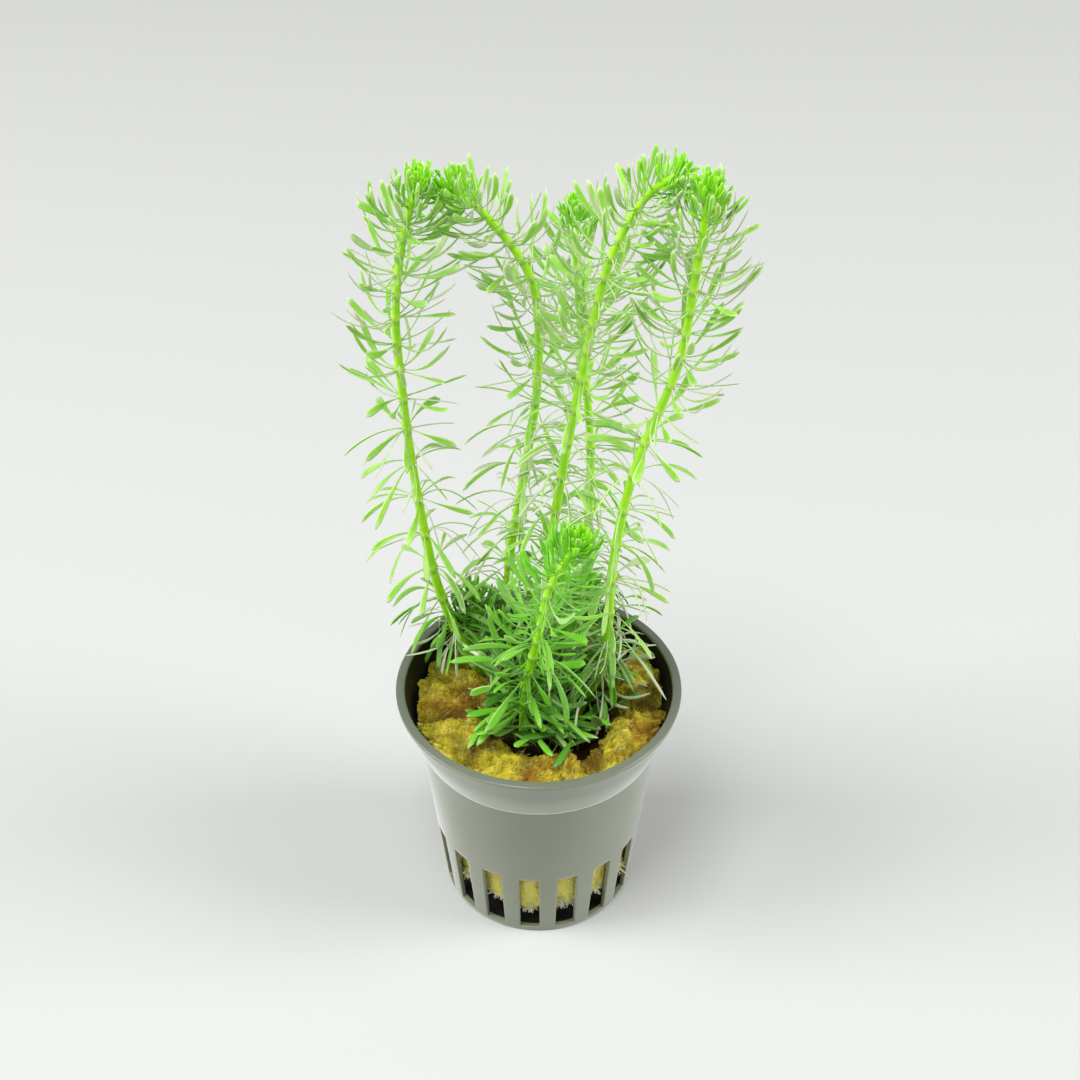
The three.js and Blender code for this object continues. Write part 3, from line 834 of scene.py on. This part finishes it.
def leaf_pose(stem, number, back, angle_share, trim=1, wider=0):
    """Where one leaf grows and how it lies, as the vectors and sizes that its blade is drawn from."""
    seed, kind = stem.seed * 1000 + number, stem.kind

    def spread(channel):
        return chance(seed + channel * 0.1) * 2 - 1

    grown, hanging = ease(-6, 18, back), ease(36, 62, back)
    angle = angle_share * 2 * math.pi + spread(1) * 0.2
    opening = math.radians(mix(10, 80, ease(-4, 20, back)) + 10 * hanging + 9 * spread(4) + wider)
    heading = stem.heading(stem.length - back)
    across = heading.cross(Vector((0, 1, 0))).normalized()
    away = across * math.cos(angle) + heading.cross(across) * math.sin(angle)
    direction = heading * math.cos(opening) + away * math.sin(opening)
    twist = 1.3 * spread(6)
    side = heading.cross(away)
    side = side * math.cos(twist) + direction.cross(side) * math.sin(twist) \
        + direction * direction.dot(side) * (1 - math.cos(twist))
    leaf = {
        "foot": stem.at(stem.length - back) + away * FOOT_DEPTH,
        "direction": direction,
        "side": side,
        "reach": mix(2, kind["leaf_length"], grown) * (1 + 0.14 * spread(2)) * trim,
        "width": mix(0.9, kind["leaf_width"], grown) * (1 + 0.3 * spread(3)) * kind["slimness"],
        "rise": mix(0.38, -0.42, hanging) + 0.2 * spread(5),
        "sway": 0.36 * spread(7),
        "shade": chance(seed + 0.8),
    }
    leaf["bow"] = -0.8 * leaf["rise"] + 0.36 * spread(8)
    leaf["young"] = 0.9 * ease(7, 1.5, back)
    height = leaf["foot"].z
    leaf["lush"] = ease(70, 52, height)
    if kind is SHORT:
        leaf["lush"] = ease(120, 80, height) * mix(0.6, 1, leaf["shade"])
    # A deeper green laid over lower leaves, darker towards the wool
    leaf["low_dark"] = ease(74, 50, height) * varied(0.15, 1, seed + 0.9)
    return leaf


def leaf_point(leaf, share):
    bend = Vector((0, 0, 1)) - leaf["direction"] * leaf["direction"].z
    return (leaf["foot"] + leaf["direction"] * (leaf["reach"] * share)
            + bend * (leaf["reach"] * (leaf["rise"] * share ** 2 + leaf["bow"] * share * (1 - share)))
            + leaf["side"] * (leaf["reach"] * leaf["sway"] * share * (1 - share)))


def turned_astray(leaf, seed, most):
    """Turns a leaf off its even place in the whorl, as leaves that were bent in handling lie."""
    stray = Vector([chance(seed + part) - 0.5 for part in (0.13, 0.37, 0.59)]) * 2 * most
    direction = (leaf["direction"] + stray).normalized()
    leaf["direction"] = direction
    leaf["side"] = (leaf["side"] - direction * leaf["side"].dot(direction)).normalized()


stem_tree = kdtree.KDTree(sum(int(stem.length) + 1 for stem in stems))
stem_names = []
for stem in stems:
    for k in range(int(stem.length) + 1):
        stem_tree.insert(stem.at(k), len(stem_names))
        stem_names.append(stem.name)
stem_tree.balance()


def wool_height(x, y):
    """The height that a leaf has to stay above at a place over the wool."""
    reach = math.hypot(x - PIT_CENTRE[0], y - PIT_CENTRE[1])
    pit_wall = mix(PIT_FLOOR + 2, WOOL_TOP - 1, ease(PIT_RADIUS - 2, PIT_RADIUS - 0.4, reach))
    return pit_wall + 2.2 * ease(PIT_RADIUS, PIT_RADIUS + 2.5, reach)


def is_clear(stem, leaf):
    """Whether a thin leaf misses the other stems, the wool and the pot's wall."""
    for k in range(3, 11):
        point = leaf_point(leaf, k / 10)
        near = stem_tree.find_range(point, STEM_CLEARANCE)
        if any(stem_names[index] != stem.name for _, index, _ in near):
            return False
        if point.z < wool_height(point.x, point.y):
            return False
        if point.z < POT_HEIGHT + 1 and from_axis(point) > inner_radius(point.z) - WALL_CLEARANCE:
            return False
    return True


def whorl_leaves(stem, tips):
    """The solid's own leaves, cut back as they are there, and thinner ones between them."""
    seed = stem.seed
    lowest = BUSHY_EXTRA_LEAVES if stem.name in BUSHY_STEMS else LOW_EXTRA_LEAVES
    for whorl, back in enumerate(stem.whorls):
        for number in range(LEAVES_PER_WHORL):
            angle_share = (number + 0.25 + whorl % 2 / 2) / LEAVES_PER_WHORL
            for trim in LEAF_TRIM:
                leaf = leaf_pose(stem, whorl * 10 + number, back, angle_share, trim)
                if tips.find(leaf_point(leaf, 1))[2] < TIP_TOLERANCE:
                    yield leaf
                    break
        for number in range(round(mix(EXTRA_LEAVES, lowest, ease(35, 60, back)))):
            gap = int(chance(seed * 77 + whorl * 3.1 + number) * LEAVES_PER_WHORL)
            angle_share = (gap + 0.75 + whorl % 2 / 2) / LEAVES_PER_WHORL
            wider = 32 * ease(30, 6, back) * chance(seed * 19 + whorl * 7.7 + number)
            leaf = leaf_pose(stem, 500 + whorl * 10 + number, back + 0.3, angle_share, 0.92, wider)
            if chance(seed * 29 + whorl * 5.3 + number * 2.9) < THREAD_SHARE:
                leaf["width"] *= 0.4
                leaf["shade"] = 0.01
                leaf["bow"] *= 1.6
                leaf["sway"] *= 1.8
            if is_clear(stem, leaf):
                yield leaf


def low_leaves(stem):
    """Leaves that hang round the foot of a stem, down to the wool; on tall stems many are threads."""
    seed, kind = stem.seed, stem.kind
    for number in range(kind["low_leaves"] + EXTRA_THREADS.get(stem.name, 0)):
        back = varied(stem.whorls[-1] - 14, stem.length - 6, seed * 31 + number)
        leaf = leaf_pose(stem, 700 + number, back, chance(seed * 53 + number * 1.7))
        leaf["rise"] += varied(0.5, -0.5, seed * 17 + number * 2.3)
        leaf["bow"] = -0.6 * leaf["rise"]
        leaf["reach"] *= varied(0.6, 1, seed * 13 + number * 1.3)
        turned_astray(leaf, seed * 91 + number, 0.5)
        if kind is TALL and (number % 2 or number > kind["low_leaves"]):
            leaf["shade"] = leaf["lush"] = leaf["low_dark"] = 0
            leaf["rise"] = varied(-0.9, 0.4, seed * 11 + number)
            leaf["bow"] = -1.3 * leaf["rise"]
            leaf["sway"] *= 3
            leaf["width"] *= 0.6
            leaf["reach"] *= 1.25
        if is_clear(stem, leaf):
            yield leaf


def bud_leaves(stem):
    """Young leaves folded over the growing tip, and pale blunt ones that stand out all round it."""
    for ring, back in enumerate(BUD_WHORLS):
        for number in range(LEAVES_PER_WHORL):
            angle_share = (number + 0.4 * ring) / LEAVES_PER_WHORL
            leaf = leaf_pose(stem, 800 + ring * 10 + number, back, angle_share, wider=14 + 9 * ring)
            leaf["width"] *= 0.85
            leaf["reach"] *= 0.9
            leaf["young"] = 1
            yield leaf
    for number in range(HALO_LEAVES // 3 if stem.name == "stem_back" else HALO_LEAVES):
        back = varied(1.2, 12, stem.seed * 41 + number * 1.9)
        wider = varied(16, 36, stem.seed * 43 + number * 0.7)
        leaf = leaf_pose(stem, 900 + number, back, number * 0.382, wider=wider)
        leaf["reach"] *= mix(1.15, 1, ease(0, 12, back))
        leaf["width"] *= mix(1.25, 1.0, ease(0, 12, back))
        leaf["young"] = 0.12
        yield leaf


def draped_leaves(stem):
    """Bright leaves that fall forward from the foot of the front shoot, over the edge of the pit."""
    kind = stem.kind
    for number in range(DRAPED_LEAVES):
        back = stem.length - varied(14, 36, number + 0.21)
        leaf = leaf_pose(stem, 950 + number, back, varied(-0.15, 0.65, number + 0.61))
        leaf["width"] = kind["leaf_width"] * varied(0.4, 0.95, number + 0.81)
        leaf["lush"], leaf["low_dark"] = varied(0.5, 1, number + 0.51), 0.25 * chance(number + 0.71)
        if number % 2:
            # A long one that lies over the front of the pit
            direction = Vector((varied(-1.1, 1.7, number + 0.27), -1, varied(0, 0.4, number + 0.47)))
            direction.normalize()
            leaf["direction"] = direction
            leaf["side"] = direction.cross(Vector((varied(-0.5, 0.5, number + 0.77), 0, 1))).normalized()
            leaf["foot"] = stem.at(varied(8, 15, number + 0.17))
            leaf["width"] *= 0.75
            reach, rise, bow = (0.9, 1.5), (-0.3, 0.1), (0, 0.4)
        else:
            turned_astray(leaf, number, 0.75)
            reach, rise, bow = (0.6, 1.25), (0.25, -0.8), (0, 0.7)
        leaf["reach"] = kind["leaf_length"] * varied(*reach, number + 0.31)
        leaf["rise"], leaf["bow"] = varied(*rise, number + 0.41), varied(*bow, number + 0.11)
        if is_clear(stem, leaf):
            yield leaf


def pit_leaves(stem):
    """Dark leaves of broken side shoots, which stand up from the wet wool between the stems."""
    kind = stem.kind
    for number in range(PIT_LEAVES + FRONT_PIT_LEAVES):
        turn = 2 * math.pi * chance(number + 0.45)
        if number < PIT_LEAVES:
            around, away = 2 * math.pi * chance(number + 0.3), 9.5 * math.sqrt(chance(number + 0.6))
            lift, above = varied(0.35, 1.25, number + 0.75), 1
        else:
            # Lower ones fill the front of the pit
            around, away = -math.pi * varied(0.1, 0.9, number + 0.3), varied(3, 10.5, number + 0.6)
            lift, above = varied(0.05, 0.6, number + 0.75), varied(2, 7, number + 0.65)
        direction = place_round(math.cos(lift), turn, math.sin(lift))
        leaf = {
            "foot": place_round(away, around, PIT_FLOOR + above, PIT_CENTRE),
            "direction": direction,
            "side": direction.cross(Vector((0, 0, 1))).normalized(),
            "reach": kind["leaf_length"] * varied(0.8, 1.3, number + 0.15),
            "width": kind["leaf_width"] * varied(0.5, 0.85, number + 0.9),
            "rise": varied(-0.5, 0.1, number + 0.2),
            "bow": 0.2,
            "sway": varied(-0.4, 0.4, number + 0.85),
            "shade": chance(number + 0.05) * 0.8 + 0.2,
            "young": 0,
            "lush": chance(number + 0.55),
            "low_dark": varied(0.1, 0.9, number + 0.35),
        }
        if is_clear(stem, leaf):
            yield leaf


def stem_leaves(stem):
    """Every leaf of a stem. The solid's points show which of its whorls' leaves it has."""
    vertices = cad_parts[stem.name].data.vertices
    tips = kdtree.KDTree(len(vertices))
    for vertex in vertices:
        tips.insert(vertex.co / MM, vertex.index)
    tips.balance()
    leaves = [*whorl_leaves(stem, tips), *low_leaves(stem), *bud_leaves(stem)]
    if stem.name == "shoot_front":
        leaves += [*pit_leaves(stem), *draped_leaves(stem)]
    return leaves


def leafy_stem_tree():
    """Grows a stem along its line and draws a blade at each leaf's foot."""
    made, entry = new_group("leafy_stem", "GeometryNodeTree", {
        "Geometry": "Geometry", "Stem Sides": "Int", "Leaf Sides": "Int", "Leaf Steps": "Int",
        "Leaf Half Thickness": "Float", "Leaf Channel": "Float", "Stem Material": "Material",
        "Leaf Material": "Material"},
        {"Geometry": "Geometry"})

    def added(first, second):
        return maths(made, "ADD", first, second)

    def less(first, second):
        return maths(made, "SUBTRACT", first, second)

    def times(first, second):
        return maths(made, "MULTIPLY", first, second)

    def vector(operation, *terms):
        return output_of(made, "ShaderNodeVectorMath", dict(enumerate(terms)), operation=operation)

    def scaled(direction, length):
        return output_of(made, "ShaderNodeVectorMath", {0: direction, "Scale": length}, operation="SCALE")

    def shaped(share, points):
        """A value that follows a curve through these points."""
        node = new_node(made, "ShaderNodeFloatCurve", {"Value": share})
        curve = node.mapping.curves[0]
        curve.points[0].location, curve.points[-1].location = points[0], points[-1]
        for x, y in points[1:-1]:
            curve.points.new(x, y)
        node.mapping.update()
        return node.outputs["Value"]

    # The stem: a round section swept along the line, thicker at each node
    path = output_of(made, "GeometryNodeMeshToCurve", {"Mesh": entry["Geometry"]})
    section = output_of(made, "GeometryNodeCurvePrimitiveCircle", {
        "Resolution": entry["Stem Sides"], "Radius": 1.0})
    swept = output_of(made, "GeometryNodeCurveToMesh", {
        "Curve": path, "Profile Curve": section, "Scale": named_value(made, "thickness"),
        "Fill Caps": True})
    stem_done = output_of(made, "GeometryNodeSetMaterial", {
        "Geometry": swept, "Material": entry["Stem Material"]})

    # The leaf: a closed six-sided sleeve, one unit long, that carries its own place along and across
    reach = named_value(made, "reach")
    is_leaf = output_of(made, "FunctionNodeCompare", {0: reach, 1: 1e-5}, operation="GREATER_THAN")
    feet = output_of(made, "GeometryNodeMeshToPoints", {"Mesh": entry["Geometry"], "Selection": is_leaf})
    sleeve = output_of(made, "GeometryNodeMeshCylinder", {
        "Vertices": entry["Leaf Sides"], "Side Segments": entry["Leaf Steps"],
        "Fill Segments": 1, "Radius": 1.0, "Depth": 1.0}, fill_type="TRIANGLE_FAN")
    spot = output_of(made, "GeometryNodeInputPosition")
    marked = output_of(made, "GeometryNodeStoreNamedAttribute", {
        "Geometry": sleeve, "Name": "blade", "Value": spot}, data_type="FLOAT_VECTOR", domain="POINT")
    planted = output_of(made, "GeometryNodeInstanceOnPoints", {"Points": feet, "Instance": marked})
    real = output_of(made, "GeometryNodeRealizeInstances", {"Geometry": planted})

    # How far along the blade a point is, packed closer to the tip, and how wide and thick it is there
    split = new_node(made, "ShaderNodeSeparateXYZ", {0: named_value(made, "blade", "FLOAT_VECTOR")})
    across, up, height = split.outputs
    share = less(1.0, maths(made, "POWER", less(1.0, added(height, 0.5)), 1.25))
    breadth = shaped(share, [(0, 0.15), (0.25, 0.19), (0.42, 0.38), (0.6, 0.74), (0.76, 0.98),
                             (0.88, 0.98), (0.95, 0.78), (1, 0.2)])
    depth = shaped(share, [(0, 1.0), (0.3, 0.9), (0.6, 0.75), (0.9, 0.6), (1, 0.1)])

    # The blade's middle line, which rises, bows and sways, and the face that turns with its slope
    foot, direction, side = (
        named_value(made, name, "FLOAT_VECTOR") for name in ("foot", "direction", "side"))
    rise, bow, sway, width = (named_value(made, name) for name in ("rise", "bow", "sway", "width"))
    bend = vector("SUBTRACT", (0, 0, 1), scaled(direction, vector("DOT_PRODUCT", direction, (0, 0, 1))))
    between = times(share, less(1.0, share))
    climb = added(times(rise, times(share, share)), times(bow, between))
    spine = vector("ADD", scaled(direction, times(reach, share)), scaled(bend, times(reach, climb)))
    spine = vector("ADD", spine, scaled(side, times(times(reach, sway), between)))
    spine = vector("ADD", spine, foot)
    steepening = times(less(rise, bow), times(share, 2.0))
    slope = vector("ADD", direction, scaled(bend, added(steepening, bow)))
    face = vector("NORMALIZE", vector("CROSS_PRODUCT", slope, side))
    half_width = times(times(width, breadth), 0.5)
    rim = times(times(across, across), times(half_width, entry["Leaf Channel"]))
    skin = times(times(up, depth), entry["Leaf Half Thickness"])
    placed = vector("ADD", spine, scaled(side, times(across, half_width)))
    placed = vector("ADD", placed, scaled(face, added(skin, rim)))
    blade = output_of(made, "GeometryNodeSetPosition", {"Geometry": real, "Position": placed})
    leaf_done = output_of(made, "GeometryNodeSetMaterial", {
        "Geometry": blade, "Material": entry["Leaf Material"]})

    both = new_node(made, "GeometryNodeJoinGeometry")
    for done in (leaf_done, stem_done):
        made.links.new(done, both.inputs["Geometry"])
    smooth = output_of(made, "GeometryNodeSetShadeSmooth", {"Geometry": both.outputs["Geometry"]})
    new_node(made, "NodeGroupOutput", {"Geometry": smooth})
    return made


leafy_stem = leafy_stem_tree()

# Leaf skin: a painted highlight at the edges and ends, brighter towards the bud and deep green near
# the wool, with a thin waxy gloss. Light passes a little way into it.
leaf_skin, tree, shader = new_material("leaf_skin", {
    "Roughness": 0.4, "Specular IOR Level": 0.35, "Subsurface Weight": 0.12, "Subsurface Scale": 0.0008,
    "Subsurface Radius": (0.5, 1.0, 0.2), "Coat Weight": 0.08, "Coat Roughness": 0.25})
blade = new_node(tree, "ShaderNodeSeparateXYZ", {0: stored(tree, "blade", "Vector")}).outputs
# The edges and the ends get a painted highlight
rim = ranged(tree, maths(tree, "ABSOLUTE", blade[0]), 0.5, 1.0, 0.0, 0.85)
end = ranged(tree, blade[2], 0.32, 0.5, 0.0, 0.7)
shade = stored(tree, "shade")
tones_and_highlight = layered(
    tree, mottled(tree, 260.0, LEAF_FRESH, LEAF_LIGHT)["Colour"],
    (maths(tree, "MAXIMUM", rim, end), LEAF_PAINTED_HIGHLIGHT),
    (ranged(tree, shade, 0.6, 1.0, 0.0, 0.3), LEAF_DEEP),
    (ranged(tree, shade, 0.0, 0.12, 0.85, 0.0), LEAF_FADED),
    (ranged(tree, stored(tree, "lush"), 0.0, 1.0, 0.0, 0.85), LEAF_LUSH),
    (stored(tree, "young"), LEAF_YOUNG),
    (stored(tree, "low_dark"), LEAF_LOW_DARK))
tree.links.new(tones_and_highlight, shader.inputs["Base Color"])

stem_skin, tree, shader = new_material("stem_skin", {
    "Roughness": 0.4, "Specular IOR Level": 0.35, "Subsurface Weight": 0.15, "Subsurface Scale": 0.001,
    "Subsurface Radius": (0.6, 1.0, 0.1), "Coat Weight": 0.12, "Coat Roughness": 0.2})
ringed = layered(
    tree, mottled(tree, 420.0, STEM_LOW, STEM_LIME)["Colour"],
    (stored(tree, "ring"), STEM_RING),
    (stored(tree, "seam"), STEM_SEAM))
tree.links.new(ringed, shader.inputs["Base Color"])

# What each leaf's foot stores, and its unit. The tree draws the blade from the drawn values, which are
# removed once it has grown, and the skin's colour reads the others.
DRAWN_NUMBERS = {"reach": MM, "width": MM, "rise": 1, "bow": 1, "sway": 1}
SKIN_NUMBERS = {"shade": 1, "young": 1, "lush": 1, "low_dark": 1}
DRAWN_VECTORS = {"foot": MM, "direction": 1, "side": 1}


def bands(backs, whorls, half_length):
    """How much each point of a stem lies in a band round it at one of its whorls."""
    return [sum(math.exp(-((back - whorl) / half_length) ** 2) for whorl in whorls if whorl > FIRST_RING)
            for back in backs]


for stem in stems:
    name, kind = stem.name, stem.kind
    steps = math.ceil(stem.length / STEM_STEP)
    path = [stem.length * k / steps for k in range(steps + 1)]
    rings = bands([stem.length - along for along in path], stem.whorls, NODE_HALF_LENGTH)
    # A dark seam runs round the stem just under each swelling
    seams = bands([stem.length - along - SEAM_BELOW_NODE for along in path], stem.whorls, SEAM_HALF_LENGTH)
    thickness = [MM * mix(kind["radius"], kind["tip_radius"], along / stem.length)
                 * (1 + NODE_SWELLING * min(ring, 1)) for along, ring in zip(path, rings)]
    thickness[-1] *= 0.5
    leaves = stem_leaves(stem)
    seedling = bpy.data.meshes.new(name + "_line")
    # The blades' places are stored with each foot, so the foot's own point stays at the origin
    seedling.from_pydata([stem.at(along) * MM for along in path] + [(0, 0, 0)] * len(leaves),
                         [(k, k + 1) for k in range(steps)], [])
    add_values(seedling, "thickness", thickness + [0.0] * len(leaves))
    add_values(seedling, "ring", rings + [0.0] * len(leaves))
    add_values(seedling, "seam", [SEAM_STRENGTH * seam for seam in seams] + [0.0] * len(leaves))
    for value, unit in {**DRAWN_NUMBERS, **SKIN_NUMBERS}.items():
        add_values(seedling, value, [0.0] * len(path) + [leaf[value] * unit for leaf in leaves])
    for value, unit in DRAWN_VECTORS.items():
        vectors = [Vector()] * len(path) + [leaf[value] * unit for leaf in leaves]
        add_values(seedling, value, vectors, "FLOAT_VECTOR")
    sprout = new_piece(name + "_sprout", seedling)
    grown = grown_mesh(sprout, leafy_stem, {
        "Stem Sides": STEM_SIDES, "Leaf Sides": LEAF_SIDES, "Leaf Steps": LEAF_STEPS,
        "Leaf Half Thickness": LEAF_HALF_THICKNESS * MM, "Leaf Channel": LEAF_CHANNEL,
        "Stem Material": stem_skin, "Leaf Material": leaf_skin}, name + "_grown")
    bpy.data.objects.remove(sprout)
    for value in ("thickness", *DRAWN_NUMBERS, *DRAWN_VECTORS):
        grown.attributes.remove(grown.attributes[value])
    plant = new_piece("leafy_" + name, grown)
    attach(plant, "root")
    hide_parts(name)

# Cut stubs: the ends of two stems that were cropped short, a green one and a bleached one. Each is
# a little narrower at its cut, which slants and has a soft edge.
STUB_PLACES = [(-8.6, 12.0), (-8.8, -6.6)]
STUB_TOP = 48.2
STUB_RADIUS = 1.0
STUB_TAPER = 0.92
STUB_SLANT = 0.25
STUB_ROUND = 0.3
STUB_DEPTH = 5
PITH_GREEN = (0.58, 0.70, 0.12, 1)
PITH_PALE = (0.76, 0.82, 0.34, 1)
bleached_pith = mottled_material("bleached_pith", {
    "Roughness": 0.5, "Subsurface Weight": 0.2, "Subsurface Scale": 0.001}, 900.0, PITH_GREEN, PITH_PALE)
for number, (x, y) in enumerate(STUB_PLACES):
    form = bmesh.new()
    bmesh.ops.create_cone(form, cap_ends=True, segments=24, radius1=STUB_RADIUS * MM,
                          radius2=STUB_TAPER * STUB_RADIUS * MM, depth=STUB_DEPTH * MM)
    bmesh.ops.bevel(form, geom=[edge for edge in form.edges if edge.calc_face_angle(0) > 1],
                    offset=STUB_ROUND * MM, segments=3, profile=0.5, affect="EDGES")
    for vertex in form.verts:
        vertex.co.z += STUB_SLANT * vertex.co.x * (vertex.co.z > 0)
        vertex.co += Vector((x, y, STUB_TOP - STUB_DEPTH / 2)) * MM
    stub_mesh = bpy.data.meshes.new("cut_stub")
    form.to_mesh(stub_mesh)
    form.free()
    stub_mesh.shade_smooth()
    stub_mesh.materials.append(bleached_pith if number else stem_skin)
    stub = new_piece(f"cut_stub_{number + 1}", stub_mesh)
    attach(stub, "root")
